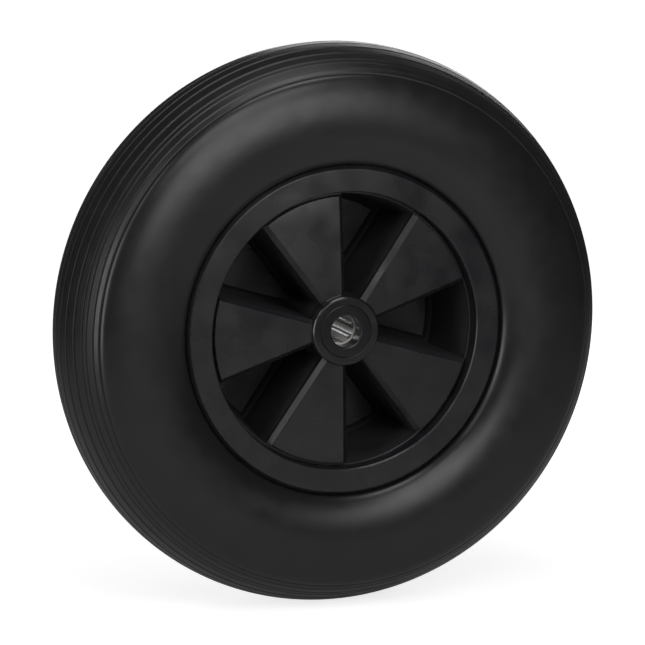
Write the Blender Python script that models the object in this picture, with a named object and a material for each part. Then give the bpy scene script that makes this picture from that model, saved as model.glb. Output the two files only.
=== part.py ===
"""Puncture-proof wheelbarrow wheel, 400 x 100 mm, with a caged roller bearing.

The wheel turns about +Y, its centre is the origin and the face in view looks along -Y.
Both faces are alike, but the rear one is half a step round, because the web is folded
into plates that lie by turns at the front and at the rear.
"""
import math

import bmesh
import bpy
from mathutils import Matrix, Vector

# Fits
GAP = 0.0003
AXLE_CLEARANCE = 0.0001

# Tyre
TYRE_DIAMETER = 0.400
TYRE_WIDTH = 0.100
BELLY_OFFSET = 0.0037
TREAD_WIDTH = 0.0844
TREAD_CROWN = 0.0173
SHOULDER_STEP = 0.0014
RIB_PITCH = 0.0082
RIB_GROOVE_WIDTH = 0.0018
RIB_GROOVE_DEPTH = 0.0024
SHOULDER_GROOVE_WIDTH = 0.0012
SHOULDER_GROOVE_DEPTH = 0.0015
SHOULDER_RIB_WIDTH = 0.0022
SECOND_RIB_WIDTH = 0.0037
MAIN_GROOVES_EACH_SIDE = 3

# Rim
RIM_WIDTH = 0.080
SEAT_DIAMETER = 0.2032
SEAT_TAPER_WIDTH = 0.020
SEAT_TAPER = math.radians(5)
FLANGE_HEIGHT = 0.0154
FLANGE_THICKNESS = 0.0060
FLANGE_EDGE = 0.0030
DRUM_WALL = 0.0024
MOUTH_FLARE = 0.0020
MOUTH_EDGE = 0.0012

# Web of the rim
PLATE_COUNT = 5
FIRST_PLATE_ANGLE = math.radians(37)
PLATE_RECESS = 0.0065
PLATE_THICKNESS = 0.0040
PLATE_EDGE = 0.0034
PLATE_END_EDGE = 0.0025
FLOOR_EDGE = 0.0035
WALL_THICKNESS = 0.0035
WALL_DRAFT = math.radians(0.5)
RING_CHANNEL_WIDTH = 0.0035
RING_CHANNEL_DEPTH = 0.0050
POCKET_TAPER = 0.0075
POCKET_SHELF = 0.0007
CUTTER_REACH = 0.0010

# Hub
HUB_STANDOUT = 0.0065
HUB_FACE_WIDTH = 0.0057
HUB_EDGE = 0.0018
HUB_FILLET = 0.0006

# Caps
CAP_LIP = 0.0016
CAP_DISC_THICKNESS = 0.0030
CAP_DEPTH = 0.0080
CAP_BORE_CLEARANCE = 0.0013
CAP_EDGE = 0.0008

# Bearing
AXLE_DIAMETER = 0.020
ROLLER_COUNT = 8
ROLLER_DIAMETER = 0.0050
ROLLER_EDGE = 0.0004
FIRST_ROLLER_ANGLE = math.radians(-39)
SLEEVE_WALL = 0.0015
CAGE_BORE_CLEARANCE = 0.0005
CAGE_OUTER_CLEARANCE = 0.0010
CAGE_END_RING = 0.0056

# Facets round a full turn, and steps in each half of a sidewall
WHEEL_SEGMENTS = 60
HUB_SEGMENTS = 32
SIDEWALL_STEPS = 4
ROLLER_SEGMENTS = 12
ROLLER_POCKET_SEGMENTS = 16

# Places that follow from the sizes
HALF_RIM = RIM_WIDTH / 2
FLANGE_BACK = HALF_RIM - FLANGE_THICKNESS
SEAT_END = FLANGE_BACK - SEAT_TAPER_WIDTH
FLANGE_RADIUS = SEAT_DIAMETER / 2 + FLANGE_HEIGHT
DRUM_RADIUS = SEAT_DIAMETER / 2 - SEAT_TAPER_WIDTH * math.tan(SEAT_TAPER) - DRUM_WALL
PLATE_FACE = HALF_RIM - PLATE_RECESS
PLATE_RADIUS = DRUM_RADIUS - RING_CHANNEL_WIDTH
POCKET_FLOOR = PLATE_FACE - PLATE_THICKNESS
HALF_HUB = PLATE_FACE + HUB_STANDOUT
PLATE_STEP = 2 * math.pi / PLATE_COUNT
SEGMENT_STEP = 2 * math.pi / WHEEL_SEGMENTS
AXLE_RADIUS = AXLE_DIAMETER / 2
ROLLER_CIRCLE = AXLE_RADIUS + AXLE_CLEARANCE + ROLLER_DIAMETER / 2
RACE_RADIUS = ROLLER_CIRCLE + ROLLER_DIAMETER / 2 + GAP
SLEEVE_RADIUS = RACE_RADIUS + SLEEVE_WALL
HUB_BORE_RADIUS = SLEEVE_RADIUS + GAP
SPIGOT_RADIUS = HUB_BORE_RADIUS - GAP
CAP_DISC_RADIUS = SPIGOT_RADIUS + CAP_LIP
CAP_BORE_RADIUS = AXLE_RADIUS + CAP_BORE_CLEARANCE
CAP_RECESS_RADIUS = CAP_DISC_RADIUS + GAP
HUB_RADIUS = CAP_RECESS_RADIUS + HUB_FACE_WIDTH
CAGE_BORE_RADIUS = AXLE_RADIUS + CAGE_BORE_CLEARANCE
CAGE_OUTER_RADIUS = RACE_RADIUS - CAGE_OUTER_CLEARANCE
CAP_INNER_END = HALF_HUB - CAP_DEPTH
BEARING_HALF = CAP_INNER_END - GAP
WINDOW_HALF = BEARING_HALF - CAGE_END_RING
ROLLER_HALF = WINDOW_HALF - GAP


def clear_scene():
    """Start from an empty scene, whatever was open."""
    for old in list(bpy.data.objects):
        bpy.data.objects.remove(old, do_unlink=True)


def material(name, colour, roughness, metallic=0.0):
    """A Principled material with one colour, for one kind of piece."""
    made = bpy.data.materials.new(name)
    made.use_nodes = True
    shader = made.node_tree.nodes["Principled BSDF"]
    shader.inputs["Base Color"].default_value = (*colour, 1.0)
    shader.inputs["Roughness"].default_value = roughness
    shader.inputs["Metallic"].default_value = metallic
    return made


def add_object(name, bm, look, smooth_angle=35):
    """Turn a bmesh into a named object with its own material."""
    mesh = bpy.data.meshes.new(name)
    bm.to_mesh(mesh)
    bm.free()
    mesh.materials.append(look)
    mesh.shade_smooth()
    mesh.set_sharp_from_angle(angle=math.radians(smooth_angle))
    piece = bpy.data.objects.new(name, mesh)
    bpy.context.scene.collection.objects.link(piece)
    return piece


def turned(outline, segments):
    """Turn a closed outline of (radius, y) points once round the Y axis."""
    bm = bmesh.new()
    points = [bm.verts.new((radius, y, 0)) for radius, y in outline]
    edges = [bm.edges.new((a, b)) for a, b in zip(points, points[1:] + points[:1])]
    bmesh.ops.spin(bm, geom=points + edges, axis=(0, 1, 0), cent=(0, 0, 0),
                   angle=2 * math.pi, steps=segments, use_merge=True)
    bmesh.ops.recalc_face_normals(bm, faces=bm.faces)
    return bm


def mirrored(half):
    """Close an outline whose first half runs from the front towards the middle plane."""
    return half + [(radius, -y) for radius, y in reversed(half)]


def as_cutter(piece):
    """Mark an object as a tool that only cuts others."""
    piece.hide_render = True
    piece.display_type = 'WIRE'
    return piece


def cut(piece, cutter):
    """Take the cutter's shape out of a piece."""
    tool = piece.modifiers.new("cut by " + cutter.name, 'BOOLEAN')
    tool.operation = 'DIFFERENCE'
    tool.solver = 'EXACT'
    tool.object = as_cutter(cutter)


def tread_radius(y):
    """Radius of the tread's crown at a distance y from the middle plane."""
    return TYRE_DIAMETER / 2 - TREAD_CROWN * (2 * y / TREAD_WIDTH) ** 2


def groove(y, width, depth):
    """A V groove across the outline, centred on y."""
    half = width / 2
    return [(tread_radius(y - half), y - half), (tread_radius(y) - depth, y),
            (tread_radius(y + half), y + half)]


def tread_outline():
    """Tread from its front shoulder to the groove in front of the middle one."""
    outline = [(tread_radius(TREAD_WIDTH / 2), -TREAD_WIDTH / 2)]
    y = -TREAD_WIDTH / 2
    for rib in (SHOULDER_RIB_WIDTH, SECOND_RIB_WIDTH):
        y += rib + SHOULDER_GROOVE_WIDTH / 2
        outline += groove(y, SHOULDER_GROOVE_WIDTH, SHOULDER_GROOVE_DEPTH)
        y += SHOULDER_GROOVE_WIDTH / 2
    for step in range(MAIN_GROOVES_EACH_SIDE, 0, -1):
        outline += groove(-step * RIB_PITCH, RIB_GROOVE_WIDTH, RIB_GROOVE_DEPTH)
    return outline


def quarter(start, end, count, bulge_first):
    """Points of a quarter ellipse from start to end, both left out.

    bulge_first is True where the curve leaves start along the wheel's axis.
    """
    points = []
    for step in range(1, count):
        turn = math.pi / 2 * step / count
        along, across = math.sin(turn), 1 - math.cos(turn)
        share_r, share_y = (across, along) if bulge_first else (along, across)
        points.append((start[0] + (end[0] - start[0]) * share_r,
                       start[1] + (end[1] - start[1]) * share_y))
    return points


def seat_radius(y):
    """Outer radius of the rim's drum, with its tapered bead seats."""
    depth = min(FLANGE_BACK - abs(y), SEAT_TAPER_WIDTH)
    return SEAT_DIAMETER / 2 - depth * math.tan(SEAT_TAPER)


def tyre_outline():
    """Half of the tyre's section, from the middle of its seat round to the crown."""
    bead_face = FLANGE_BACK - GAP
    bead = [(seat_radius(y) + GAP, -y) for y in (bead_face - SEAT_TAPER_WIDTH, bead_face)]
    lip = (FLANGE_RADIUS + GAP, -bead_face)
    rise = (FLANGE_RADIUS + GAP, -(HALF_RIM - FLANGE_EDGE))
    shoulder = (tread_radius(TREAD_WIDTH / 2) - SHOULDER_STEP, -TREAD_WIDTH / 2)
    belly = ((rise[0] + shoulder[0]) / 2 + BELLY_OFFSET, -TYRE_WIDTH / 2)
    inner_wall = [rise] + quarter(rise, belly, SIDEWALL_STEPS, True) + [belly]
    outer_wall = quarter(belly, shoulder, SIDEWALL_STEPS, False) + [shoulder]
    return bead + [lip] + inner_wall + outer_wall + tread_outline()


def make_tyre():
    """One solid foam moulding with ribs in its tread and beads that fit the rim."""
    front = tyre_outline()
    middle = groove(0, RIB_GROOVE_WIDTH, RIB_GROOVE_DEPTH)
    rear = [(radius, -y) for radius, y in reversed(front)]
    bm = turned(front + middle + rear, WHEEL_SEGMENTS)
    return add_object("tyre", bm, material("skinned_foam", (0.016, 0.016, 0.017), 0.5))


def rim_outline():
    """Front half of the rim's section before its pockets are cut."""
    mouth = DRUM_RADIUS + MOUTH_FLARE
    recess_floor = HALF_HUB - CAP_DISC_THICKNESS - GAP
    channel_floor = PLATE_FACE - RING_CHANNEL_DEPTH
    return [
        (HUB_BORE_RADIUS, -recess_floor),
        (CAP_RECESS_RADIUS, -recess_floor),
        (CAP_RECESS_RADIUS, -HALF_HUB),
        (HUB_RADIUS - HUB_EDGE, -HALF_HUB),
        (HUB_RADIUS, -HALF_HUB + HUB_EDGE),
        (HUB_RADIUS, -PLATE_FACE),
        (PLATE_RADIUS - PLATE_END_EDGE, -PLATE_FACE),
        (PLATE_RADIUS, -PLATE_FACE + PLATE_END_EDGE),
        (PLATE_RADIUS, -channel_floor),
        (DRUM_RADIUS, -channel_floor),
        (mouth, -HALF_RIM + 2 * MOUTH_EDGE),
        (mouth + MOUTH_EDGE, -HALF_RIM),
        (FLANGE_RADIUS - FLANGE_EDGE, -HALF_RIM),
        (FLANGE_RADIUS, -HALF_RIM + FLANGE_EDGE),
        (FLANGE_RADIUS, -FLANGE_BACK),
        (seat_radius(FLANGE_BACK), -FLANGE_BACK),
        (seat_radius(SEAT_END), -SEAT_END),
    ]


def sector_loop(bm, turn, y, inner, outer, inset):
    """A ring of points: a sector between two walls, whose sides keep clear of them by inset."""
    half_step = PLATE_STEP / 4
    count = round(half_step / SEGMENT_STEP)
    points = []
    for radius, direction in ((outer, 1), (inner, -1)):
        edge = half_step - math.asin(inset / radius)
        for step in range(-count, count + 1):
            angle = turn + direction * edge * step / count
            points.append(bm.verts.new((radius * math.cos(angle), y, radius * math.sin(angle))))
    return points


def add_pocket(bm, turn, side):
    """One pocket as a closed block, wider at its mouth, with side -1 for the front.

    A chamfer breaks the plates' edges at its mouth, and another runs round its floor.
    """
    inner = HUB_RADIUS + HUB_FILLET
    mouth = DRUM_RADIUS - POCKET_SHELF
    floor = DRUM_RADIUS - POCKET_TAPER
    straight = PLATE_FACE - PLATE_EDGE
    spread = math.tan(WALL_DRAFT) * (straight + POCKET_FLOOR)
    wall = WALL_THICKNESS / 2
    top = PLATE_FACE + CUTTER_REACH
    levels = (
        (top, mouth, wall - PLATE_EDGE - CUTTER_REACH),
        (straight, mouth, wall),
        (FLOOR_EDGE - POCKET_FLOOR, floor, wall + spread),
        (-POCKET_FLOOR, floor - FLOOR_EDGE, wall + spread + FLOOR_EDGE),
    )
    loops = [sector_loop(bm, turn, side * y, inner, outer, inset) for y, outer, inset in levels]
    for near, far in zip(loops, loops[1:]):
        for a in range(len(near)):
            b = (a + 1) % len(near)
            bm.faces.new((near[a], near[b], far[b], far[a]))
    bm.faces.new(loops[0])
    bm.faces.new(loops[-1])


def pocket_cutter(name, side, first_angle, look):
    """The pockets of one side of the rim, as one cutting tool."""
    bm = bmesh.new()
    for index in range(PLATE_COUNT):
        add_pocket(bm, first_angle + index * PLATE_STEP, side)
    bmesh.ops.recalc_face_normals(bm, faces=bm.faces)
    bmesh.ops.triangulate(bm, faces=bm.faces)
    return add_object(name, bm, look)


def make_rim():
    """Drum, flanges, web and hub in one moulding, open between its plates."""
    look = material("moulded_polypropylene", (0.020, 0.020, 0.021), 0.4)
    bm = turned(mirrored(rim_outline()), WHEEL_SEGMENTS)
    bmesh.ops.rotate(bm, verts=bm.verts, matrix=Matrix.Rotation(-FIRST_PLATE_ANGLE, 3, 'Y'))
    rim = add_object("rim", bm, look)
    between = FIRST_PLATE_ANGLE + PLATE_STEP / 2
    cut(rim, pocket_cutter("front_pockets", -1, between, look))
    cut(rim, pocket_cutter("rear_pockets", 1, FIRST_PLATE_ANGLE, look))
    return rim


def make_sleeve():
    """Hard sleeve in the hub that the rollers run in."""
    bm = turned(mirrored([(RACE_RADIUS, -BEARING_HALF), (SLEEVE_RADIUS, -BEARING_HALF)]), HUB_SEGMENTS)
    return add_object("bearing_sleeve", bm, material("bearing_steel", (0.45, 0.45, 0.46), 0.3, 1.0))


def make_cap(name, side, look):
    """Ring pushed into one end of the hub; it keeps the bearing in and lets the axle through."""
    outline = [
        (CAP_BORE_RADIUS, CAP_INNER_END),
        (CAP_BORE_RADIUS, HALF_HUB - CAP_EDGE),
        (CAP_BORE_RADIUS + CAP_EDGE, HALF_HUB),
        (CAP_DISC_RADIUS - CAP_EDGE / 2, HALF_HUB),
        (CAP_DISC_RADIUS, HALF_HUB - CAP_EDGE / 2),
        (CAP_DISC_RADIUS, HALF_HUB - CAP_DISC_THICKNESS),
        (SPIGOT_RADIUS, HALF_HUB - CAP_DISC_THICKNESS),
        (SPIGOT_RADIUS, CAP_INNER_END),
    ]
    bm = turned([(radius, side * y) for radius, y in outline], HUB_SEGMENTS)
    return add_object(name, bm, look)


def roller_angles():
    """Angles of the rollers round the axle."""
    return [FIRST_ROLLER_ANGLE + index * 2 * math.pi / ROLLER_COUNT for index in range(ROLLER_COUNT)]


def rod(radius, half_length, segments):
    """A plain rod along Y, centred on the origin."""
    bm = bmesh.new()
    bmesh.ops.create_cone(bm, cap_ends=True, segments=segments, radius1=radius, radius2=radius,
                          depth=2 * half_length, matrix=Matrix.Rotation(math.pi / 2, 4, 'X'))
    return bm


def make_cage():
    """Moulded tube with one open window for each roller, which holds the roller from falling in."""
    look = material("moulded_nylon", (0.42, 0.42, 0.41), 0.45)
    front = [(CAGE_BORE_RADIUS, -BEARING_HALF), (CAGE_OUTER_RADIUS, -BEARING_HALF)]
    cage = add_object("roller_cage", turned(mirrored(front), HUB_SEGMENTS), look)
    windows = bmesh.new()
    for angle in roller_angles():
        window = rod(ROLLER_DIAMETER / 2 + GAP, WINDOW_HALF, ROLLER_POCKET_SEGMENTS)
        place = Vector((ROLLER_CIRCLE * math.cos(angle), 0, ROLLER_CIRCLE * math.sin(angle)))
        bmesh.ops.translate(window, verts=window.verts, vec=place)
        part = bpy.data.meshes.new("window")
        window.to_mesh(part)
        window.free()
        windows.from_mesh(part)
        bpy.data.meshes.remove(part)
    cut(cage, add_object("cage_windows", windows, look))
    return cage


def make_rollers():
    """Eight steel rollers, each with its origin on its own axis."""
    look = material("ground_steel", (0.62, 0.62, 0.63), 0.2, 1.0)
    bm = rod(ROLLER_DIAMETER / 2, ROLLER_HALF, ROLLER_SEGMENTS)
    ends = [edge for edge in bm.edges if abs(edge.verts[0].co.y - edge.verts[1].co.y) < GAP]
    bmesh.ops.bevel(bm, geom=ends, offset=ROLLER_EDGE, segments=1, affect='EDGES')
    first = add_object("roller_1", bm, look)
    rollers = [first]
    for index in range(1, ROLLER_COUNT):
        roller = bpy.data.objects.new("roller_" + str(index + 1), first.data)
        bpy.context.scene.collection.objects.link(roller)
        rollers.append(roller)
    for roller, angle in zip(rollers, roller_angles()):
        roller.location = (ROLLER_CIRCLE * math.cos(angle), 0, ROLLER_CIRCLE * math.sin(angle))
    return rollers


def build():
    """Make every piece of the wheel in its place."""
    clear_scene()
    make_tyre()
    make_rim()
    make_sleeve()
    cap_look = material("moulded_cap", (0.024, 0.024, 0.025), 0.42)
    make_cap("front_cap", -1, cap_look)
    make_cap("rear_cap", 1, cap_look)
    make_cage()
    make_rollers()


build()
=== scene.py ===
# %% [markdown]
# # A wheelbarrow wheel that can't go flat
#
# The wheel has three kinds of piece. The tyre is one block of polyurethane foam that set in
# a mould and grew its own tough skin. The rim is one injection moulding, folded like a fan so
# that it is stiff without being thick. In the hub, a light nylon cage carries eight steel rollers.
#
# Almost every piece is round, so this lesson builds one lathe out of Geometry Nodes and turns
# all of them on it. A second tree cuts a ring of holes, for the pockets in the rim and for the
# windows in the cage. A third one presses the grooves into the tread.
#
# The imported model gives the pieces' real places, so it is loaded first. Its solids stay as they
# are: each finer piece below takes the place of one of them.

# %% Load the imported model
import math

import bmesh
import bpy
from mathutils import Matrix, Vector


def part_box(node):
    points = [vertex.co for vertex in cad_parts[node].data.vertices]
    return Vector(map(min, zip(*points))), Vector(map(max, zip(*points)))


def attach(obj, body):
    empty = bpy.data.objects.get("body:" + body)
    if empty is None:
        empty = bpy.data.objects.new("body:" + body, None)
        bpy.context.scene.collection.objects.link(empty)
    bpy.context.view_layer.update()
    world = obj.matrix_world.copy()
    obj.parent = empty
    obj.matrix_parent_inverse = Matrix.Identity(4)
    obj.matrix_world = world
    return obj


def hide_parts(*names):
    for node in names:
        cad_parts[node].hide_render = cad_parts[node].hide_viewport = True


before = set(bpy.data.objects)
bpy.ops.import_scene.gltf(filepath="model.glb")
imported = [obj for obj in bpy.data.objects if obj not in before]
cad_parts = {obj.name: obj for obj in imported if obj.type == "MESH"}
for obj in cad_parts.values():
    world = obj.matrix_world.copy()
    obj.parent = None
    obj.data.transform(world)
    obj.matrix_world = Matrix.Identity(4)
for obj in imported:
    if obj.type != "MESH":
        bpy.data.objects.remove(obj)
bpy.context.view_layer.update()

# %% [markdown]
# ## Sizes
#
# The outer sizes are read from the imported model, so the finer pieces can't drift away from it.
# What a box can't tell, such as the depth of a groove or the radius of an edge, is written
# once, in metres, with the piece it belongs to. Pieces that fit into each other keep a gap.

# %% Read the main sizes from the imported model
MM = 0.001
GAP = 0.3 * MM


def reach(node, axis):
    """How far a node reaches from the wheel's centre along one axis."""
    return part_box(node)[1][axis]


Y, Z = 1, 2
TYRE_RADIUS = reach("tyre", Z)
HALF_TYRE = reach("tyre", Y)
FLANGE_RADIUS = reach("rim", Z)
HALF_RIM = reach("rim", Y)
CAP_RADIUS = reach("front_cap", Z)
CAP_LENGTH = 8 * MM
CAP_INNER_END = reach("rear_cap", Y) - CAP_LENGTH
SLEEVE_RADIUS = reach("bearing_sleeve", Z)
BEARING_HALF = reach("bearing_sleeve", Y)
CAGE_RADIUS = reach("roller_cage", Z)
ROLLER_HALF = reach("roller_1", Y)
ROLLER_RADIUS = (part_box("roller_1")[1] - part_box("roller_1")[0]).z / 2
ROLLER_NODES = sorted(
    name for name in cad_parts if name.removeprefix("roller_").isdigit())
print(len(ROLLER_NODES), "rollers of", round(2 * ROLLER_RADIUS / MM, 2), "mm")

# %% [markdown]
# ## Two small helpers
#
# Every tree of nodes in this file, for shapes and for surfaces alike, is written with `add`: it
# makes one node, sets it up and plugs in its inputs. An input is either a value or another
# node's output. `linear` turns a colour from the way people write it to the way light adds up.

# %% Helpers for nodes and colours
def add(tree, kind, inputs=(), **settings):
    """Add one node; inputs maps a socket's name or number to a value or to another socket."""
    node = tree.nodes.new(kind)
    for name, value in settings.items():
        setattr(node, name, value)
    for key, value in dict(inputs).items():
        if isinstance(value, bpy.types.NodeSocket):
            tree.links.new(value, node.inputs[key])
        else:
            node.inputs[key].default_value = value
    return node


def linear(hex_colour):
    """Turn an sRGB colour, such as '808080', into linear red, green, blue and alpha."""
    parts = [int(hex_colour[start:start + 2], 16) / 255 for start in (0, 2, 4)]
    light = [p / 12.92 if p <= 0.04045 else ((p + 0.055) / 1.055) ** 2.4 for p in parts]
    return (*light, 1.0)


# %% [markdown]
# ## The camera
#
# The wheel was seen a little from its left and a little from above, from far enough away that
# its circles hardly narrow towards the back. A long lens at three metres gives that. The lens
# shift moves the wheel's centre to its place in the picture and doesn't change the shape.

# %% Place the camera
PICTURE = 645
SENSOR = 36.0
CAMERA_AZIMUTH = math.radians(-19.9)
CAMERA_ELEVATION = math.radians(9.9)
CAMERA_DISTANCE = 3.0
PIXELS_PER_METRE = 1411
CENTRE_PIXEL = (326.9, 322.2)
FAR_CLIP = 60


def direction(azimuth, elevation):
    """Unit vector from the wheel's centre; azimuth 0 is straight in front, where -Y is."""
    return Vector((math.sin(azimuth) * math.cos(elevation),
                   -math.cos(azimuth) * math.cos(elevation), math.sin(elevation)))


def aimed(name, data, place, target=Vector()):
    """Put a camera or a lamp at a place and point it at a target."""
    thing = bpy.data.objects.new(name, data)
    thing.location = place
    thing.rotation_euler = (target - place).to_track_quat('-Z', 'Y').to_euler()
    bpy.context.scene.collection.objects.link(thing)
    return thing


lens = bpy.data.cameras.new("lens")
lens.sensor_width = SENSOR
lens.lens = SENSOR * PIXELS_PER_METRE / PICTURE * CAMERA_DISTANCE
lens.shift_x = (PICTURE / 2 - CENTRE_PIXEL[0]) / PICTURE
lens.shift_y = (CENTRE_PIXEL[1] - PICTURE / 2) / PICTURE
lens.clip_end = FAR_CLIP
bpy.context.scene.camera = aimed(
    "camera", lens, CAMERA_DISTANCE * direction(CAMERA_AZIMUTH, CAMERA_ELEVATION))
print("The lens is", round(lens.lens), "mm long")

# %% [markdown]
# ## Light, backdrop and floor
#
# Black plastic shows its shape only by what it mirrors. Two soft boxes, one above the other,
# make a bank in front of the wheel: where a surface leans a little upwards, it glows. A strip at
# the left draws the ribs of the tread, and the box above it the flanks of the plates. The one
# overhead and the one behind draw the top. A small lamp with a narrow beam shines through the
# bore onto the bearing.
#
# The studio itself is dim, so that whatever mirrors none of the lamps stays black. Only the
# camera sees white behind the wheel.

# %% Light the studio
FLOOR_LEVEL = -TYRE_RADIUS
STUDIO_LEVEL = 0.05


def soft_box(name, azimuth, elevation, distance, size, power, beam=180):
    """A rectangular lamp that points at the wheel; angles are in degrees, power in watts."""
    lamp = bpy.data.lights.new(name, 'AREA')
    lamp.spread = math.radians(beam)
    lamp.shape = 'RECTANGLE'
    lamp.size, lamp.size_y = size
    lamp.energy = power
    place = distance * direction(math.radians(azimuth), math.radians(elevation))
    aimed(name, lamp, place).visible_camera = False
    print(name, "at", azimuth, "degrees round and", elevation, "up,", power, "W")


soft_box("front bank, low", 5, 14, 0.9, (0.46, 0.36), 1.9)
soft_box("front bank, high", -5, 37, 1.2, (0.66, 0.48), 3.3)
soft_box("left strip", -72, 6, 1.2, (0.5, 0.7), 4.2)
soft_box("left box", -62, 36, 1.2, (0.36, 0.36), 0.9)
soft_box("overhead box", 0, 78, 1.2, (0.6, 0.6), 4)
soft_box("bore light", -169, 9, 1.0, (0.14, 0.18), 0.0125, beam=14)
soft_box("back box", 152, 22, 1.2, (0.6, 0.6), 2.6)


def make_world():
    """White for the camera and dim for everything else; 2 and 3 are the Mix node's numbers."""
    world = bpy.data.worlds.new("studio")
    world.use_nodes = True
    tree = world.node_tree
    tree.nodes.clear()
    ray = add(tree, 'ShaderNodeLightPath')
    strength = add(tree, 'ShaderNodeMix', {
        'Factor': ray.outputs['Is Camera Ray'], 2: STUDIO_LEVEL, 3: 1.0})
    light = add(tree, 'ShaderNodeBackground', {
        'Color': linear("ffffff"), 'Strength': strength.outputs[0]})
    add(tree, 'ShaderNodeOutputWorld', {'Surface': light.outputs[0]})
    bpy.context.scene.world = world


make_world()
bpy.context.scene.view_settings.view_transform = 'Standard'

# %% [markdown]
# The floor is a plain pale sheet. Lit on its own it would look light grey, so it gets a little
# light of its own that the camera sees, and more of it farther off, where the lamps don't
# reach. That lifts it to white and leaves the soft shadow where the tyre stands. Close to the
# wheel, the tyre and the rim mirror some of that light too.

# %% Lay the floor
FLOOR_SIZE = 30
FLOOR_LIFT = 0.78
LIFT_GROWS_FROM, LIFT_IS_FULL_AT = 0.3, 1.2
MIRRORED_LIFT = 0.10
MIRRORED_FADES_FROM, MIRRORED_IS_GONE_AT = 0.25, 0.6


def make_floor():
    """A white sheet that keeps the wheel's shadow; it is a stage, not part of the wheel."""
    look = bpy.data.materials.new("Matt white backdrop paper")
    look.use_nodes = True
    tree = look.node_tree
    tree.nodes.clear()
    ray = add(tree, 'ShaderNodeLightPath')
    where = add(tree, 'ShaderNodeTexCoord').outputs['Object']
    away = add(tree, 'ShaderNodeVectorMath', {0: where}, operation='LENGTH').outputs['Value']
    whiter = add(tree, 'ShaderNodeMapRange', {
        'Value': away, 'From Min': LIFT_GROWS_FROM, 'From Max': LIFT_IS_FULL_AT,
        'To Min': FLOOR_LIFT, 'To Max': 1.0})
    near = add(tree, 'ShaderNodeMapRange', {
        'Value': away, 'From Min': MIRRORED_FADES_FROM, 'From Max': MIRRORED_IS_GONE_AT,
        'To Min': MIRRORED_LIFT, 'To Max': 0.0})
    mirrored = add(tree, 'ShaderNodeMath', {
        0: ray.outputs['Is Glossy Ray'], 1: near.outputs['Result']}, operation='MULTIPLY')
    lift = add(tree, 'ShaderNodeMath', {
        0: ray.outputs['Is Camera Ray'], 1: whiter.outputs['Result'], 2: mirrored.outputs[0]},
        operation='MULTIPLY_ADD')
    paper = add(tree, 'ShaderNodeBsdfDiffuse', {'Color': linear("d0d0d0")})
    glow = add(tree, 'ShaderNodeEmission', {'Strength': lift.outputs[0]})
    both = add(tree, 'ShaderNodeAddShader', {0: paper.outputs[0], 1: glow.outputs[0]})
    add(tree, 'ShaderNodeOutputMaterial', {'Surface': both.outputs[0]})
    bm = bmesh.new()
    bmesh.ops.create_grid(bm, x_segments=1, y_segments=1, size=FLOOR_SIZE / 2,
                          matrix=Matrix.Translation((0, 0, FLOOR_LEVEL)))
    sheet = bpy.data.meshes.new("floor")
    bm.to_mesh(sheet)
    bm.free()
    sheet.materials.append(look)
    floor = bpy.data.objects.new("floor", sheet)
    bpy.context.scene.collection.objects.link(floor)


make_floor()
print("The floor lies", round(FLOOR_LEVEL / MM), "mm from the axle's height")

# %% [markdown]
# ## Surfaces
#
# No plastic part is one even black. A moulded skin copies the mould's fine texture, flows a
# little unevenly and is touched by hands. So the materials below have up to three layers: a base
# colour that drifts slightly, a roughness that drifts more, and a fine bump at a real size.
# The numbers that are the same all over stay on the shader's own sockets.

# %% Helpers for materials
def new_material(name, colour, roughness, **sockets):
    """A Principled material; returns the material, its tree and its shader."""
    look = bpy.data.materials.new(name)
    look.use_nodes = True
    tree = look.node_tree
    shader = tree.nodes["Principled BSDF"]
    values = {"Base Color": colour, "Roughness": roughness, **sockets}
    for socket, value in values.items():
        shader.inputs[socket].default_value = value
    print("Material:", name)
    return look, tree, shader


def noise(tree, where, grain, detail=3.0):
    """Noise whose blotches are about one grain across, in metres."""
    return add(tree, 'ShaderNodeTexNoise', {
        'Vector': where, 'Scale': 1 / grain, 'Detail': detail}).outputs['Fac']


def spread(tree, value, low, high, out_low, out_high):
    """Stretch the range from low to high so that it fills the range from out_low to out_high."""
    return add(tree, 'ShaderNodeMapRange', {
        'Value': value, 'From Min': low, 'From Max': high, 'To Min': out_low,
        'To Max': out_high}, interpolation_type='SMOOTHSTEP').outputs['Result']


def tint(tree, factor, dark, light):
    """A colour between two others, which a Mix node has as its inputs 6 and 7."""
    return add(tree, 'ShaderNodeMix', {
        'Factor': factor, 6: dark, 7: light}, data_type='RGBA').outputs[2]


def bump(tree, height, depth, below=None):
    """A bump as deep as the given number of metres, over another one if there is one."""
    inputs = {'Height': height, 'Distance': depth, 'Strength': 1.0}
    if below is not None:
        inputs['Normal'] = below
    return add(tree, 'ShaderNodeBump', inputs).outputs['Normal']


def place_on_object(tree):
    """Object coordinates, which are metres from the wheel's centre."""
    return add(tree, 'ShaderNodeTexCoord').outputs['Object']


def wheel_radius(tree, where):
    """Distance from the axle's line."""
    flat = add(tree, 'ShaderNodeVectorMath', {0: where, 1: (1, 0, 1)}, operation='MULTIPLY')
    length = add(tree, 'ShaderNodeVectorMath', {0: flat.outputs[0]}, operation='LENGTH')
    return length.outputs['Value']


# %% [markdown]
# ### Polyurethane foam with its own skin
#
# Integral-skin foam foams inside and turns solid where it meets the cool mould. The skin is a
# soft, dry satin: broad pale highlights and no sharp reflection. Where gas moved along the
# mould the sheen is a little blotchy, with spots of 10 to 25 mm, and close up there is a grain
# of about a millimetre. The tread is drier than the sidewalls.

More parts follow.
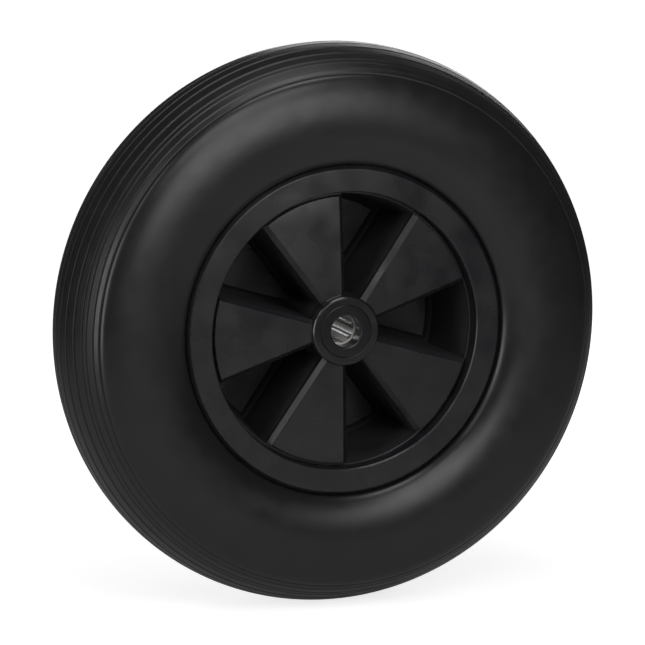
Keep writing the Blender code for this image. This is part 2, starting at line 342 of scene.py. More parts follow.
# %% Foam skin
def foam_skin():
    """Satin black, mottled, and drier on the tread."""
    look, tree, shader = new_material(
        "Integral-skin polyurethane foam, moulded", linear("19191a"), 0.3, IOR=1.45)
    where = place_on_object(tree)
    patches = noise(tree, where, 26 * MM, 2.0)
    colour = tint(tree, spread(tree, patches, 0.2, 0.8, 0, 1), linear("171718"), linear("1b1b1c"))
    tree.links.new(colour, shader.inputs["Base Color"])
    mottled = spread(tree, noise(tree, where, 13 * MM, 1.0), 0.2, 0.8, 0.275, 0.335)
    sidewall_top, tread_start = TYRE_RADIUS - 21 * MM, TYRE_RADIUS - 16 * MM
    dry = spread(tree, wheel_radius(tree, where), sidewall_top, tread_start, 0.0, 0.06)
    rough = add(tree, 'ShaderNodeMath', {0: mottled, 1: dry}, operation='ADD').outputs[0]
    tree.links.new(rough, shader.inputs["Roughness"])
    waves = bump(tree, noise(tree, where, 14 * MM, 2.0), 0.12 * MM)
    grain = bump(tree, noise(tree, where, 0.9 * MM, 2.0), 0.006 * MM, waves)
    tree.links.new(grain, shader.inputs["Normal"])
    return look


FOAM = foam_skin()

# %% [markdown]
# ### Polypropylene, injection moulded
#
# The rim's mould was spark eroded, which leaves a fine matt pebble of about 0.7 mm. The melt
# flows on unevenly, so the sheen changes from place to place, and shrinkage leaves the plates
# very slightly wavy, which bends the reflections of a large lamp. Deep in the pockets the mould
# was left rougher, so the walls there are duller. Their colour is also painted a lighter grey
# there, as painted light for the light that the lamps don't bring into the pockets. The part of
# the mould that makes the hub's face was turned, and is smoother.

# %% Moulded polypropylene
def moulded_polypropylene():
    """Satin black with a pebble, smoother on the hub's face, duller in the pockets and painted
    lighter there.
    """
    look, tree, shader = new_material(
        "Polypropylene, injection moulded", linear("1b1b1d"), 0.28, IOR=1.46)
    where = place_on_object(tree)
    along = add(tree, 'ShaderNodeSeparateXYZ', {0: where}).outputs['Y']
    depth = add(tree, 'ShaderNodeMath', {0: along}, operation='ABSOLUTE').outputs[0]
    deep, shallow = HALF_RIM - 14 * MM, HALF_RIM - 10 * MM
    deep_dull_and_painted_light = spread(tree, depth, deep, shallow, 1.0, 0.0)
    patches = noise(tree, where, 18 * MM, 1.0)
    colour = tint(tree, spread(tree, patches, 0.2, 0.8, 0, 1), linear("17171a"), linear("1e1e20"))
    # Deep in the pockets the colour goes to a lighter grey: painted light for the light the lamps
    # don't bring in.
    tree.links.new(tint(tree, deep_dull_and_painted_light, colour, linear("28282a")), shader.inputs["Base Color"])
    flow = noise(tree, where, 22 * MM, 1.5)
    shown = spread(tree, flow, 0.2, 0.8, 0.21, 0.35)
    hub, plates = CAP_RADIUS + 6.5 * MM, CAP_RADIUS + 7.5 * MM
    turned = spread(tree, wheel_radius(tree, where), hub, plates, 0.10, 0.0)
    dull = add(tree, 'ShaderNodeMath', {0: deep_dull_and_painted_light, 1: 0.25, 2: shown}, operation='MULTIPLY_ADD')
    rough = add(tree, 'ShaderNodeMath', {0: dull.outputs[0], 1: turned}, operation='SUBTRACT')
    tree.links.new(rough.outputs[0], shader.inputs["Roughness"])
    sink = bump(tree, noise(tree, where, 45 * MM, 1.0), 2.0 * MM)
    pebble = bump(tree, noise(tree, where, 0.7 * MM, 2.0), 0.02 * MM, sink)
    tree.links.new(pebble, shader.inputs["Normal"])
    return look


POLYPROPYLENE = moulded_polypropylene()

# %% [markdown]
# ### The caps
#
# The caps are small mouldings from a turned mould, and the turning tool's fine rings came out
# on their faces. Real ones are a few tenths of a millimetre apart, which is too fine to show, so
# here they are 2 mm apart and make faint circles round the bore.

# %% Moulded caps with turned rings
RING_PITCH = 2 * MM


def ringed_polypropylene():
    """Smooth black with faint rings round the bore."""
    look, tree, shader = new_material(
        "Polypropylene from a turned mould", linear("141415"), 0.17, IOR=1.46)
    where = place_on_object(tree)
    radius = wheel_radius(tree, where)
    turns = add(tree, 'ShaderNodeMath', {0: radius, 1: math.tau / RING_PITCH}, operation='MULTIPLY')
    rings = add(tree, 'ShaderNodeMath', {0: turns.outputs[0]}, operation='SINE').outputs[0]
    drift = spread(tree, noise(tree, where, 5 * MM, 2.0), 0.25, 0.75, 0.14, 0.20)
    tree.links.new(drift, shader.inputs["Roughness"])
    ringed = bump(tree, rings, 0.02 * MM)
    grain = bump(tree, noise(tree, where, 0.5 * MM, 2.0), 0.015 * MM, ringed)
    tree.links.new(grain, shader.inputs["Normal"])
    return look


RINGED = ringed_polypropylene()

# %% [markdown]
# ### Nylon, ground steel and drawn tube
#
# The cage is left in nylon's own milky colour, a little clouded. The rollers are ground to
# size, so they carry fine lines that run round them, and the sleeve is drawn tube, with lines
# that run along it. The sleeve's colour is painted darker than bare steel, as painted shade
# that shows through the gaps beside the rollers.

# %% Bearing materials
def natural_nylon():
    """Milky and a little clouded."""
    look, tree, shader = new_material(
        "Nylon 66, natural, injection moulded", linear("c8c6c0"), 0.38, IOR=1.53)
    where = place_on_object(tree)
    cloud = spread(tree, noise(tree, where, 4 * MM, 4.0), 0.3, 0.7, 0, 1)
    milky = tint(tree, cloud, linear("bdbbb4"), linear("d0cec9"))
    tree.links.new(milky, shader.inputs["Base Color"])
    tree.links.new(bump(tree, noise(tree, where, 0.6 * MM), 0.02 * MM), shader.inputs["Normal"])
    return look


def lined_steel(name, colour, roughness, along, across):
    """Steel with fine lines; along and across are their sizes along the axle and round it."""
    look, tree, shader = new_material(name, linear(colour), roughness, Metallic=1.0)
    where = place_on_object(tree)
    stretched = add(tree, 'ShaderNodeMapping', {
        'Vector': where, 'Scale': (1 / across, 1 / along, 1 / across)}, vector_type='POINT')
    lines = noise(tree, stretched.outputs[0], 1.0)
    uneven = spread(tree, lines, 0.3, 0.7, roughness - 0.08, roughness + 0.1)
    tree.links.new(uneven, shader.inputs["Roughness"])
    tree.links.new(bump(tree, lines, 0.004 * MM), shader.inputs["Normal"])
    return look


NYLON = natural_nylon()
GROUND_STEEL = lined_steel("Bearing steel, ground", "a2a2a4", 0.46, 0.3 * MM, 6 * MM)
# The sleeve is painted darker than bare steel: painted shade for the gaps beside the rollers.
DRAWN_STEEL = lined_steel("Steel tube, drawn, darkened as painted shade", "68686a", 0.38, 12 * MM, 0.4 * MM)

# %% [markdown]
# ## A lathe made of nodes
#
# A lathe turns a flat outline into a round piece. The outline goes in as a chain of points,
# each one a radius and a place along the axle. The tree lays out a plain grid, one row for
# each point and one column for each step round, looks up the row's point and rotates it by
# the column's angle. The last column lands on the first, and merging closes the seam.

# %% Build the lathe tree
MERGE_DISTANCE = 0.002 * MM


def new_tree(name, sockets):
    """An empty geometry tree with the named inputs; returns the tree and its input node."""
    tree = bpy.data.node_groups.new(name, 'GeometryNodeTree')
    tree.interface.new_socket("Geometry", in_out='INPUT', socket_type='NodeSocketGeometry')
    for label, kind in sockets.items():
        tree.interface.new_socket(label, in_out='INPUT', socket_type='NodeSocket' + kind)
    tree.interface.new_socket("Geometry", in_out='OUTPUT', socket_type='NodeSocketGeometry')
    print("Tree:", name, "with the inputs", ", ".join(sockets))
    return tree, tree.nodes.new('NodeGroupInput')


def end_tree(tree, shape, material):
    """Finish a tree: real geometry, smooth, with its material."""
    real = add(tree, 'GeometryNodeRealizeInstances', {0: shape})
    smooth = add(tree, 'GeometryNodeSetShadeSmooth', {'Geometry': real.outputs[0]})
    made = add(tree, 'GeometryNodeSetMaterial', {
        'Geometry': smooth.outputs[0], 'Material': material})
    add(tree, 'NodeGroupOutput', {0: made.outputs[0]})


def whole(tree, operation, a, b):
    """Arithmetic on whole numbers."""
    return add(tree, 'FunctionNodeIntegerMath', {0: a, 1: b}, operation=operation).outputs[0]


def number(tree, operation, a, b=0.0, c=0.0):
    """Arithmetic on decimal numbers."""
    return add(tree, 'ShaderNodeMath', {0: a, 1: b, 2: c}, operation=operation).outputs[0]


def lathe_tree():
    """Turn a chain of points into a closed round shape."""
    tree, given = new_tree("Lathe", {"Segments": "Int", "Material": "Material"})
    outline, segments = given.outputs["Geometry"], given.outputs["Segments"]
    points = add(tree, 'GeometryNodeAttributeDomainSize', {0: outline}).outputs["Point Count"]
    rows = whole(tree, 'ADD', points, 1)
    grid = add(tree, 'GeometryNodeMeshGrid', {
        'Vertices X': whole(tree, 'ADD', segments, 1), 'Vertices Y': rows}).outputs['Mesh']
    index = add(tree, 'GeometryNodeInputIndex').outputs[0]
    column = whole(tree, 'DIVIDE_FLOOR', index, rows)
    row = whole(tree, 'MODULO', whole(tree, 'MODULO', index, rows), points)
    place = add(tree, 'GeometryNodeInputPosition').outputs[0]
    point = add(tree, 'GeometryNodeSampleIndex', {
        'Geometry': outline, 'Value': place, 'Index': row},
        data_type='FLOAT_VECTOR', domain='POINT')
    turn = number(tree, 'DIVIDE', number(tree, 'MULTIPLY', column, math.tau), segments)
    spun = add(tree, 'ShaderNodeVectorRotate', {
        'Vector': point.outputs[0], 'Angle': turn}, rotation_type='Y_AXIS').outputs[0]
    bent = add(tree, 'GeometryNodeSetPosition', {'Geometry': grid, 'Position': spun}).outputs[0]
    closed = add(tree, 'GeometryNodeMergeByDistance', {
        'Geometry': bent, 'Distance': MERGE_DISTANCE}).outputs[0]
    end_tree(tree, closed, given.outputs["Material"])
    return tree


LATHE = lathe_tree()

# %% [markdown]
# ## A ring of cuts
#
# This tree takes one cutting tool, copies it evenly round the axle and takes all the copies out
# of the piece at once. Five wedges open the pockets of the rim, and eight rods open the windows
# of the cage, so a change of count is a change of one number.

# %% Build the tree that cuts a ring of holes
def ring_cut_tree():
    """Cut copies of one tool, evenly round the axle, out of a piece."""
    tree, given = new_tree(
        "Ring of cuts", {"Tool": "Object", "Count": "Int", "Material": "Material"})
    tool = add(tree, 'GeometryNodeObjectInfo', {
        'Object': given.outputs["Tool"]}).outputs['Geometry']
    spots = add(tree, 'GeometryNodePoints', {'Count': given.outputs["Count"]}).outputs[0]
    index = add(tree, 'GeometryNodeInputIndex').outputs[0]
    turn = number(tree, 'DIVIDE', number(tree, 'MULTIPLY', index, math.tau), given.outputs["Count"])
    angles = add(tree, 'ShaderNodeCombineXYZ', {'Y': turn}).outputs[0]
    tools = add(tree, 'GeometryNodeInstanceOnPoints', {
        'Points': spots, 'Instance': tool, 'Rotation': angles}).outputs[0]
    real = add(tree, 'GeometryNodeRealizeInstances', {0: tools}).outputs[0]
    cut = add(tree, 'GeometryNodeMeshBoolean', {
        'Mesh 1': given.outputs["Geometry"], 'Mesh 2': real},
        operation='DIFFERENCE', solver='EXACT')
    end_tree(tree, cut.outputs[0], given.outputs["Material"])
    return tree


RING_CUT = ring_cut_tree()

# %% [markdown]
# ## From tree to finished piece
#
# A finished piece is a plain mesh that sits at the origin. `run_tree` sets a tree's inputs,
# lets Blender work it out and takes the result. `finish` then merges doubles, turns all faces
# outwards, keeps real corners sharp and gives flat faces flat shading next to their rounded
# edges, which is what the Weighted Normal modifier is for.

# %% Helpers for meshes
SHARP_ANGLE = math.radians(38)
SHORTEST_EDGE = 0.001 * MM


def new_piece(name, mesh):
    """Put a mesh into the scene as an object."""
    piece = bpy.data.objects.new(name, mesh)
    bpy.context.scene.collection.objects.link(piece)
    return piece


def remove(piece):
    """Take an object out again."""
    bpy.data.objects.remove(piece, do_unlink=True)


def plain_mesh(piece):
    """The mesh of an object with its modifiers worked out."""
    graph = bpy.context.evaluated_depsgraph_get()
    return bpy.data.meshes.new_from_object(piece.evaluated_get(graph), depsgraph=graph)


def run_tree(tree, piece, **values):
    """Send an object's mesh through a tree and return the result; the object is used up."""
    modifier = piece.modifiers.new(tree.name, 'NODES')
    modifier.node_group = tree
    for item in tree.interface.items_tree:
        if item.in_out == 'INPUT' and item.name in values:
            modifier[item.identifier] = values[item.name]
    mesh = plain_mesh(piece)
    remove(piece)
    return mesh


def chain(points):
    """A mesh of loose points in order, as (radius, y), for the lathe."""
    mesh = bpy.data.meshes.new("outline")
    mesh.from_pydata([(radius, y, 0) for radius, y in points], [], [])
    return mesh


def lathe(name, points, segments, material):
    """Turn an outline and give it back as an object."""
    outline = new_piece(name, chain(points))
    return new_piece(name, run_tree(LATHE, outline, Segments=segments, Material=material))


def finish(piece):
    """Close, orient and shade a piece."""
    bm = bmesh.new()
    bm.from_mesh(piece.data)
    bmesh.ops.remove_doubles(bm, verts=bm.verts, dist=MERGE_DISTANCE)
    bmesh.ops.dissolve_degenerate(bm, edges=bm.edges, dist=SHORTEST_EDGE)
    loose = [edge for edge in bm.edges if not edge.link_faces]
    bmesh.ops.delete(bm, geom=loose, context='EDGES')
    bmesh.ops.recalc_face_normals(bm, faces=bm.faces)
    open_edges = sum(1 for edge in bm.edges if len(edge.link_faces) != 2)
    bm.to_mesh(piece.data)
    bm.free()
    piece.data.shade_smooth()
    piece.data.set_sharp_from_angle(angle=SHARP_ANGLE)
    weighted = piece.modifiers.new("flat faces stay flat", 'WEIGHTED_NORMAL')
    weighted.keep_sharp = True
    mesh = plain_mesh(piece)
    piece.modifiers.clear()
    piece.data = mesh
    print(piece.name, len(mesh.polygons), "faces,", open_edges, "open edges")
    return piece


# %% [markdown]
# An outline is easier to write with sharp corners, each with the radius that it should have.
# `rounded` then replaces each corner with an arc. A corner with radius 0 stays sharp, as the
# inner corners of a mould often do.

# %% Round the corners of an outline
ARC_STEP = math.radians(15)
MOST_OF_A_SIDE = 0.49


def rounded(corners):
    """Turn (radius, y, edge radius) corners of a closed outline into points with arcs."""
    points = []
    count = len(corners)
    for index, (x, y, edge) in enumerate(corners):
        here = Vector((x, y))
        before = Vector(corners[index - 1][:2]) - here
        after = Vector(corners[(index + 1) % count][:2]) - here
        if edge == 0:
            points.append(tuple(here))
            continue
        between = before.angle(after)
        shortest = MOST_OF_A_SIDE * min(before.length, after.length)
        tangent = min(edge / math.tan(between / 2), shortest)
        edge = tangent * math.tan(between / 2)
        inwards = (before.normalized() + after.normalized()).normalized()
        centre = here + inwards * edge / math.sin(between / 2)
        start = here + before.normalized() * tangent - centre
        sweep = start.angle_signed(here + after.normalized() * tangent - centre)
        steps = max(1, math.ceil(abs(sweep) / ARC_STEP))
        for step in range(steps + 1):
            turned = Matrix.Rotation(-sweep * step / steps, 2) @ start
            points.append(tuple(centre + turned))
    return points


def mirrored(front):
    """Close an outline whose front half runs towards the middle plane."""
    return front + [(x, -y, edge) for x, y, edge in reversed(front)]


# %% [markdown]
# ## The tyre
#
# In section the tyre is nearly round: two bulging sidewalls between the rim and a low crowned
# tread. The sidewalls are quarter ellipses, so they leave the rim and meet the tread without a
# kink. The tread is made smooth here, with rows of points ready where the grooves will be.

# %% Tyre section
TYRE_SEGMENTS = 240
TREAD_HALF = 42.2 * MM
TREAD_CROWN = 17.3 * MM
SHOULDER_STEP = 1.4 * MM
SHOULDER_EDGE = 0.35 * MM
BELLY_OFFSET = 3.7 * MM
FLANGE_THICKNESS = 6.0 * MM
FLANGE_EDGE = 2.5 * MM
SIDEWALL_START = 4.2 * MM
FLANGE_HEIGHT = 15.4 * MM
SEAT_TAPER_WIDTH = 20 * MM
SEAT_TAPER = math.radians(5)
RIB_PITCH = 8.2 * MM
GROOVE_WIDTH = 1.9 * MM
GROOVE_DEPTH = 2.4 * MM
GROOVES_EACH_SIDE = 3
GROOVE_ROWS = (-0.62, -0.5, -0.42, -0.32, -0.2, -0.1, 0, 0.1, 0.2, 0.32, 0.42, 0.5, 0.62)
FINE_GROOVES = {
    "Fine groove 1": 39.4 * MM, "Fine groove 2": 34.5 * MM, "Fine groove 3": 31.2 * MM}
FINE_WIDTH = 1.3 * MM
FINE_DEPTH = 1.5 * MM
SIDEWALL_STEPS = 26
FLANGE_BACK = HALF_RIM - FLANGE_THICKNESS
SEAT_END = FLANGE_BACK - SEAT_TAPER_WIDTH


def seat_radius(y):
    """Radius of the tapered seat that the tyre's bead grips."""
    depth = min(FLANGE_BACK - abs(y), SEAT_TAPER_WIDTH)
    return FLANGE_RADIUS - FLANGE_HEIGHT - depth * math.tan(SEAT_TAPER)


def tread_radius(y):
    """Radius of the crowned tread before its grooves are pressed in."""
    return TYRE_RADIUS - TREAD_CROWN * (y / TREAD_HALF) ** 2


def quarter(start, end, count, bulge_first):
    """Points of a quarter ellipse between two points that are left out."""
    points = []
    for step in range(1, count):
        turn = math.pi / 2 * step / count
        along, across = math.sin(turn), 1 - math.cos(turn)
        share_r, share_y = (across, along) if bulge_first else (along, across)
        points.append((start[0] + (end[0] - start[0]) * share_r,
                       start[1] + (end[1] - start[1]) * share_y))
    return points


def tread_rows():
    """Places along the axle for the tread's points, close together at each groove."""
    steps = range(-GROOVES_EACH_SIDE, GROOVES_EACH_SIDE + 1)
    main = [(step * RIB_PITCH, GROOVE_WIDTH) for step in steps]
    fine = [(side * y, FINE_WIDTH) for y in FINE_GROOVES.values() for side in (-1, 1)]
    rows = [centre + share * width for centre, width in main + fine for share in GROOVE_ROWS]
    rows += [(step + 0.5) * RIB_PITCH for step in steps[:-1]]
    return sorted(rows)


def tyre_section():
    """The whole section: front bead and sidewall, tread, and the same again at the back."""
    lip = FLANGE_RADIUS + GAP
    bead_face = FLANGE_BACK - GAP
    rise = (lip, -(HALF_RIM - SIDEWALL_START))
    shoulder = (tread_radius(TREAD_HALF) - SHOULDER_STEP, -TREAD_HALF)
    belly = ((rise[0] + shoulder[0]) / 2 + BELLY_OFFSET, -HALF_TYRE)
    front = [(seat_radius(SEAT_END) + GAP, -SEAT_END),
             (seat_radius(bead_face) + GAP, -bead_face), (lip, -bead_face), rise]
    front += quarter(rise, belly, SIDEWALL_STEPS, True) + [belly]
    front += quarter(belly, shoulder, SIDEWALL_STEPS, False) + [shoulder]
    top = tread_radius(TREAD_HALF)
    front += [(top - SHOULDER_EDGE, -TREAD_HALF), (top, -TREAD_HALF + SHOULDER_EDGE)]
    tread = [(tread_radius(y), y) for y in tread_rows()]
    return front + tread + [(radius, -y) for radius, y in reversed(front)]


print(len(tyre_section()), "points in the tyre's section")

# %% [markdown]
# The grooves are pressed in by nodes that move each point of the section towards the axle.
# Folding the distance along the axle by the rib pitch gives the distance to the nearest main
# groove, whichever one it is; the finer grooves near the shoulders have places of their own.
# The smooth step makes a groove with rounded lips and a rounded floor.

# %% Build the tree that presses the grooves
def groove_tree():
    """Move the tread's points towards the axle wherever a groove is."""
    names = ("Pitch", "Width", "Depth", "Last main groove",
             *FINE_GROOVES, "Fine width", "Fine depth")
    tree, given = new_tree("Tread grooves", {
        **dict.fromkeys(names, "Float"), "Material": "Material"})
    sizes = given.outputs
    place = add(tree, 'GeometryNodeInputPosition').outputs[0]
    radius, along, _ = add(tree, 'ShaderNodeSeparateXYZ', {0: place}).outputs
    half_pitch = number(tree, 'MULTIPLY', sizes["Pitch"], 0.5)
    folded = number(tree, 'WRAP', along, half_pitch, number(tree, 'MULTIPLY', half_pitch, -1.0))
    aside = number(tree, 'ABSOLUTE', along)
    last_rib = number(tree, 'ADD', sizes["Last main groove"], half_pitch)
    on_tread = number(tree, 'LESS_THAN', aside, last_rib)

    def pressed(distance, width, depth):
        """How deep one groove is at a distance from its middle."""
        half_width = number(tree, 'MULTIPLY', width, 0.5)
        return add(tree, 'ShaderNodeMapRange', {
            'Value': distance, 'From Min': 0.0, 'From Max': half_width, 'To Min': depth,
            'To Max': 0.0}, interpolation_type='SMOOTHSTEP').outputs[0]

    main = pressed(number(tree, 'ABSOLUTE', folded), sizes["Width"], sizes["Depth"])
    depth = number(tree, 'MULTIPLY', main, on_tread)
    for name in FINE_GROOVES:
        distance = number(tree, 'ABSOLUTE', number(tree, 'SUBTRACT', aside, sizes[name]))
        fine = pressed(distance, sizes["Fine width"], sizes["Fine depth"])
        depth = number(tree, 'MAXIMUM', depth, fine)
    tread_foot = number(tree, 'SUBTRACT', TYRE_RADIUS, TREAD_CROWN)
    tread_only = number(tree, 'GREATER_THAN', radius, tread_foot)
    inwards = number(tree, 'MULTIPLY', number(tree, 'MULTIPLY', depth, tread_only), -1.0)
    move = add(tree, 'ShaderNodeCombineXYZ', {'X': inwards}).outputs[0]
    moved = add(tree, 'GeometryNodeSetPosition', {'Geometry': sizes["Geometry"], 'Offset': move})
    end_tree(tree, moved.outputs[0], sizes["Material"])
    return tree


# %% [markdown]
# The ribbed section then goes through the lathe. A real tyre is one casting with no seam at the
# rim, so the turned section is kept as one closed ring, bead to bead, and not as an open skin.

# %% Make the tyre
def make_tyre():
    """Press the grooves into the section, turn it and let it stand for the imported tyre."""
    smooth_section = new_piece("tyre_section", chain(tyre_section()))
    ribbed = run_tree(groove_tree(), smooth_section, **{
        "Pitch": RIB_PITCH, "Width": GROOVE_WIDTH, "Depth": GROOVE_DEPTH,
        "Last main groove": GROOVES_EACH_SIDE * RIB_PITCH, **FINE_GROOVES,
        "Fine width": FINE_WIDTH, "Fine depth": FINE_DEPTH, "Material": FOAM})
    section = new_piece("tyre_ribbed", ribbed)
    turned = run_tree(LATHE, section, Segments=TYRE_SEGMENTS, Material=FOAM)
    tyre = finish(new_piece("foam_tyre", turned))
    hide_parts("tyre")
    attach(tyre, "wheel")


make_tyre()

# %% [markdown]
# ## The rim
#
# The rim starts on the lathe as one fat disc with flanges and a hub. Then five wedge-shaped
# pockets are cut from the front almost to the back, and five from the back almost to the front,
# half a step round. What is left is a web that is folded like a fan: plates at the front, plates
# at the back and walls between them, all of one thin gauge.
#
# The pocket's flanks are not plain planes. At the mouth they lean out to break the plates'
# edges with a chamfer, and its corners are rounded, because a sharp edge has no highlight.

# %% Rim sizes
RIM_SEGMENTS = 180
DRUM_WALL = 2.4 * MM
DRUM_RADIUS = seat_radius(SEAT_END) - DRUM_WALL
MOUTH_RADIUS = DRUM_RADIUS + 0.9 * MM
MOUTH_EDGE = 0.9 * MM
PLATE_COUNT = 5
FIRST_PLATE = math.radians(37)
PLATE_FACE = HALF_RIM - 5.9 * MM
PLATE_DOME = 2.2 * MM
PLATE_RADIUS = DRUM_RADIUS - 2.2 * MM
PLATE_EDGE = 3.4 * MM
PLATE_END_EDGE = 0.7 * MM
PLATE_RINGS = [radius * MM for radius in range(32, 94, 6)]
POCKET_FLOOR = PLATE_FACE - 4.0 * MM
POCKET_SHELF = 0.7 * MM
POCKET_TAPER = 7.5 * MM
TOOL_SPARE = 4 * MM
TOOL_CLEARANCE = 0.1 * MM
FLOOR_EDGE = 3.5 * MM
HALF_WALL = 1.75 * MM
WALL_DRAFT = math.radians(0.5)
CHANNEL_FLOOR = PLATE_FACE - 5.0 * MM
HUB_RADIUS = CAP_RADIUS + GAP + 5.7 * MM
HUB_EDGE = 1.1 * MM
HUB_DRAFT = 0.5 * MM
HUB_BORE = SLEEVE_RADIUS + GAP
CAP_THICKNESS = 3.0 * MM


def rim_outline():
    """Front half of the rim's section, with the radius of each corner."""
    recess_floor = HALF_RIM - CAP_THICKNESS - GAP
    recess = CAP_RADIUS + GAP
    return [
        (HUB_BORE, -recess_floor, 0),
        (recess, -recess_floor, 0),
        (recess, -HALF_RIM, 0.3 * MM),
        (HUB_RADIUS - HUB_EDGE, -HALF_RIM, 0.9 * MM),
        (HUB_RADIUS, -HALF_RIM + HUB_EDGE, 0.8 * MM),
        (HUB_RADIUS + HUB_DRAFT, -PLATE_FACE, 0.5 * MM),
        *((radius, -PLATE_FACE, 0) for radius in PLATE_RINGS),
        (PLATE_RADIUS, -PLATE_FACE, PLATE_END_EDGE),
        (PLATE_RADIUS, -CHANNEL_FLOOR, 0.4 * MM),
        (DRUM_RADIUS, -CHANNEL_FLOOR, 0.4 * MM),
        (MOUTH_RADIUS, -HALF_RIM + MOUTH_EDGE, 0.5 * MM),
        (MOUTH_RADIUS + MOUTH_EDGE, -HALF_RIM, 0.5 * MM),
        (FLANGE_RADIUS - FLANGE_EDGE, -HALF_RIM, 1.0 * MM),
        (FLANGE_RADIUS, -HALF_RIM + FLANGE_EDGE, 0.9 * MM),
        (FLANGE_RADIUS, -FLANGE_BACK, 0.4 * MM),
        (seat_radius(FLANGE_BACK), -FLANGE_BACK, 0),
        (seat_radius(SEAT_END), -SEAT_END, 0),
    ]


def pocket_levels(side):
    """A pocket's levels, mouth to floor, as (y, outer radius, inset from the wall's middle)."""
    straight = PLATE_FACE - PLATE_EDGE
    draft = math.tan(WALL_DRAFT) * (straight + POCKET_FLOOR)
    mouth = HALF_WALL - PLATE_EDGE
    flank = [
        (mouth - TOOL_SPARE, -PLATE_FACE - 0.5 * MM, 0),
        (mouth, -PLATE_FACE, 0.9 * MM),
        (HALF_WALL, -straight, 0.8 * MM),
        (HALF_WALL + draft, POCKET_FLOOR - FLOOR_EDGE, 1.2 * MM),
        (HALF_WALL + draft + FLOOR_EDGE, POCKET_FLOOR, 0),
        (mouth - TOOL_SPARE, POCKET_FLOOR, 0),
    ]
    levels = []
    for inset, y in rounded(flank)[:-1]:
        wide, narrow = DRUM_RADIUS - POCKET_SHELF, DRUM_RADIUS - POCKET_TAPER
        share = max(0.0, (y + straight) / (POCKET_FLOOR - FLOOR_EDGE + straight))
        outer = wide + (narrow - wide) * min(share, 1.0) - max(0.0, y - POCKET_FLOOR + FLOOR_EDGE)
        levels.append((side * y, outer, inset))
    return levels


def pocket_tool(name, side, centre):
    """One pocket as a solid wedge."""
    steps = RIM_SEGMENTS // (4 * PLATE_COUNT)
    half_step = math.pi / PLATE_COUNT / 2
    inner = HUB_RADIUS + HUB_DRAFT + TOOL_CLEARANCE
    bm = bmesh.new()
    loops = []
    for y, outer, inset in pocket_levels(side):
        loop = []
        for radius, way in ((outer, 1), (inner, -1)):
            edge = half_step - math.asin(inset / radius)
            for step in range(-steps, steps + 1):
                angle = centre + way * edge * step / steps
                place = (radius * math.cos(angle), y, radius * math.sin(angle))
                loop.append(bm.verts.new(place))
        loops.append(loop)
    for near, far in zip(loops, loops[1:]):
        for a in range(len(near)):
            b = (a + 1) % len(near)
            bm.faces.new((near[a], near[b], far[b], far[a]))
    bm.faces.new(loops[0])
    bm.faces.new(loops[-1])
    bmesh.ops.recalc_face_normals(bm, faces=bm.faces)
    bmesh.ops.triangulate(bm, faces=bm.faces)
    mesh = bpy.data.meshes.new(name)
    bm.to_mesh(mesh)
    bm.free()
    return new_piece(name, mesh)


print("Front and rear plates end", round(2 * PLATE_FACE / MM, 1), "mm apart at the rim")

# %% [markdown]
# Thin moulded plates seldom come out flat. These fall away a little from the hub to their outer
# ends, so each is slightly domed, which is why a flat lamp doesn't light it evenly. The lathe
# has already put rings of points across the plates; they are moved here.

# %% Make the rim
def dome(piece):
    """Push the plates' faces outwards, most at the hub and not at all at their outer ends.

    Between low and high lie the faces and their rounded edges, and nothing else of the rim.
    """
    low = PLATE_FACE - PLATE_EDGE - 1.0 * MM
    high = PLATE_FACE + 0.7 * MM
    for vertex in piece.data.vertices:
        radius = math.hypot(vertex.co.x, vertex.co.z)
        on_plate = HUB_RADIUS < radius < PLATE_RADIUS + 0.1 * MM
        if on_plate and low < abs(vertex.co.y) < high:
            share = max(0.0, radius - HUB_RADIUS - HUB_DRAFT) / (PLATE_RADIUS - HUB_RADIUS)
            vertex.co.y += math.copysign(PLATE_DOME * (1 - min(share, 1.0) ** 2), vertex.co.y)


def make_rim():
    """Turn the blank, cut both rings of pockets and dome the plates."""
    blank = lathe("rim_blank", rounded(mirrored(rim_outline())), RIM_SEGMENTS, POLYPROPYLENE)
    blank.data.transform(Matrix.Rotation(-FIRST_PLATE, 4, 'Y'))
    step = math.tau / PLATE_COUNT
    for name, side, centre in (("front", 1, FIRST_PLATE + step / 2), ("rear", -1, FIRST_PLATE)):
        tool = pocket_tool(name + "_pocket", side, centre)
        mesh = run_tree(RING_CUT, blank, Tool=tool, Count=PLATE_COUNT, Material=POLYPROPYLENE)
        remove(tool)
        blank = new_piece("rim_blank", mesh)
    blank.name = "rim_moulding"
    dome(blank)
    finish(blank)
    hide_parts("rim")
    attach(blank, "wheel")


make_rim()

# %% [markdown]
# ## The caps
#
# A cap is pushed into each end of the hub. Its disc lies flush in a shallow recess, with a thin
# shadow line round it, and its spigot reaches down to the bearing and keeps it in place. A thin
# nose on the spigot goes on into the cage's end ring, so that the bore is black well inside.

# %% Make the two caps
CAP_BORE = 11.3 * MM
CAP_NOSE_RADIUS = 12.0 * MM
CAP_NOSE_LENGTH = 4.4 * MM
HUB_SEGMENTS = 96


def cap_outline(side):
    """Section of a cap with its face at the hub's end."""
    spigot = HUB_BORE - GAP
    corners = [
        (CAP_BORE, CAP_INNER_END - CAP_NOSE_LENGTH, 0.2 * MM),
        (CAP_BORE, HALF_RIM, 0.9 * MM),
        (CAP_RADIUS, HALF_RIM, 0.5 * MM),
        (CAP_RADIUS, HALF_RIM - CAP_THICKNESS, 0),
        (spigot, HALF_RIM - CAP_THICKNESS, 0),
        (spigot, CAP_INNER_END, 0.2 * MM),
        (CAP_NOSE_RADIUS, CAP_INNER_END, 0),
        (CAP_NOSE_RADIUS, CAP_INNER_END - CAP_NOSE_LENGTH, 0.2 * MM),
    ]
    return [(radius, side * y) for radius, y in rounded(corners)]


for node, side in (("front_cap", -1), ("rear_cap", 1)):
    cap = finish(lathe(node + "_moulding", cap_outline(side), HUB_SEGMENTS, RINGED))
    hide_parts(node)
    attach(cap, "wheel")

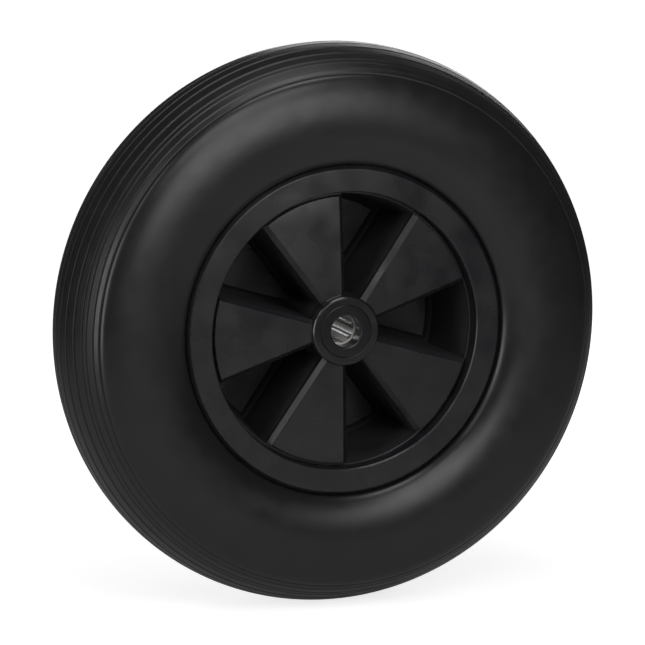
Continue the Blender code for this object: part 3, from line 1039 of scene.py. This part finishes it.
# %% [markdown]
# ## The bearing
#
# The rollers turn between the barrow's axle and the sleeve. The cage keeps them apart: it is a
# tube with one window for each roller, narrower inside than the roller is thick, so that the
# rollers can't fall in while the axle is out. Rollers, cage and sleeve move apart from each
# other, so each is a piece of its own. The sleeve comes first: it is a plain cut of tube.

# %% Make the sleeve
SLEEVE_WALL = 1.5 * MM
SLEEVE_CORNERS = [(SLEEVE_RADIUS - SLEEVE_WALL, -BEARING_HALF, 0.2 * MM),
                  (SLEEVE_RADIUS, -BEARING_HALF, 0.3 * MM)]
sleeve = finish(lathe(
    "drawn_sleeve", rounded(mirrored(SLEEVE_CORNERS)), HUB_SEGMENTS, DRAWN_STEEL))
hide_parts("bearing_sleeve")
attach(sleeve, "wheel")

# %% [markdown]
# ### The cage
#
# A real cage is moulded in one shot, and pins that slide out sideways leave its windows. Here it
# is a turned tube, and the tree that cut the rim's pockets cuts the windows, with a rod that is
# a little larger than a roller. The end rings are wider inside than the bars, so that the caps'
# noses fit into them.

# %% Make the cage
CAGE_BORE = 10.5 * MM
CAGE_END_RING = 5.6 * MM
CAGE_END_BORE = CAP_NOSE_RADIUS + 0.35 * MM
WINDOW_CLEARANCE = 0.4 * MM
ROLLER_SEGMENTS = 40


def roller_place(node):
    """Centre of a roller at rest."""
    low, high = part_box(node)
    return (low + high) / 2


def window_tool():
    """A rod that cuts the first roller's window, a little larger than the roller."""
    half = BEARING_HALF - CAGE_END_RING
    radius = ROLLER_RADIUS + WINDOW_CLEARANCE
    corners = [(0, -half, 0), (radius, -half, 0)]
    rod = lathe("window", rounded(mirrored(corners)), ROLLER_SEGMENTS, NYLON)
    rod.data.transform(Matrix.Translation(roller_place(ROLLER_NODES[0])))
    return rod


def make_cage():
    """Turn the tube and cut a window for each roller."""
    bar_end = BEARING_HALF - CAGE_END_RING + 0.5 * MM
    corners = [(CAGE_BORE, -bar_end, 0.3 * MM), (CAGE_END_BORE, -bar_end, 0),
               (CAGE_END_BORE, -BEARING_HALF, 0.4 * MM), (CAGE_RADIUS, -BEARING_HALF, 0.4 * MM)]
    tube = lathe("cage_tube", rounded(mirrored(corners)), HUB_SEGMENTS, NYLON)
    tool = window_tool()
    mesh = run_tree(RING_CUT, tube, Tool=tool, Count=len(ROLLER_NODES), Material=NYLON)
    remove(tool)
    cage = finish(new_piece("nylon_cage", mesh))
    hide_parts("roller_cage")
    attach(cage, "cage")


make_cage()

# %% [markdown]
# ### The rollers
#
# A roller is a length of hard steel wire, ground round, with a short pivot at both ends. All
# eight are alike, but each turns by itself, so one function makes a piece for each of them.

# %% Make the rollers
PIVOT_LENGTH = 3.6 * MM
PIVOT_RADIUS = 1.1 * MM


def make_roller(node):
    """One roller with a pivot at each end, turned on the lathe and then moved to its place."""
    body_half = ROLLER_HALF - PIVOT_LENGTH
    corners = [(0, -ROLLER_HALF, 0), (PIVOT_RADIUS, -ROLLER_HALF, 0.3 * MM),
               (PIVOT_RADIUS, -body_half, 0), (ROLLER_RADIUS, -body_half, 0.5 * MM)]
    roller = lathe(
        node + "_ground", rounded(mirrored(corners)), ROLLER_SEGMENTS, GROUND_STEEL)
    roller.data.transform(Matrix.Translation(roller_place(node)))
    finish(roller)
    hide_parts(node)
    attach(roller, node)


for node in ROLLER_NODES:
    make_roller(node)
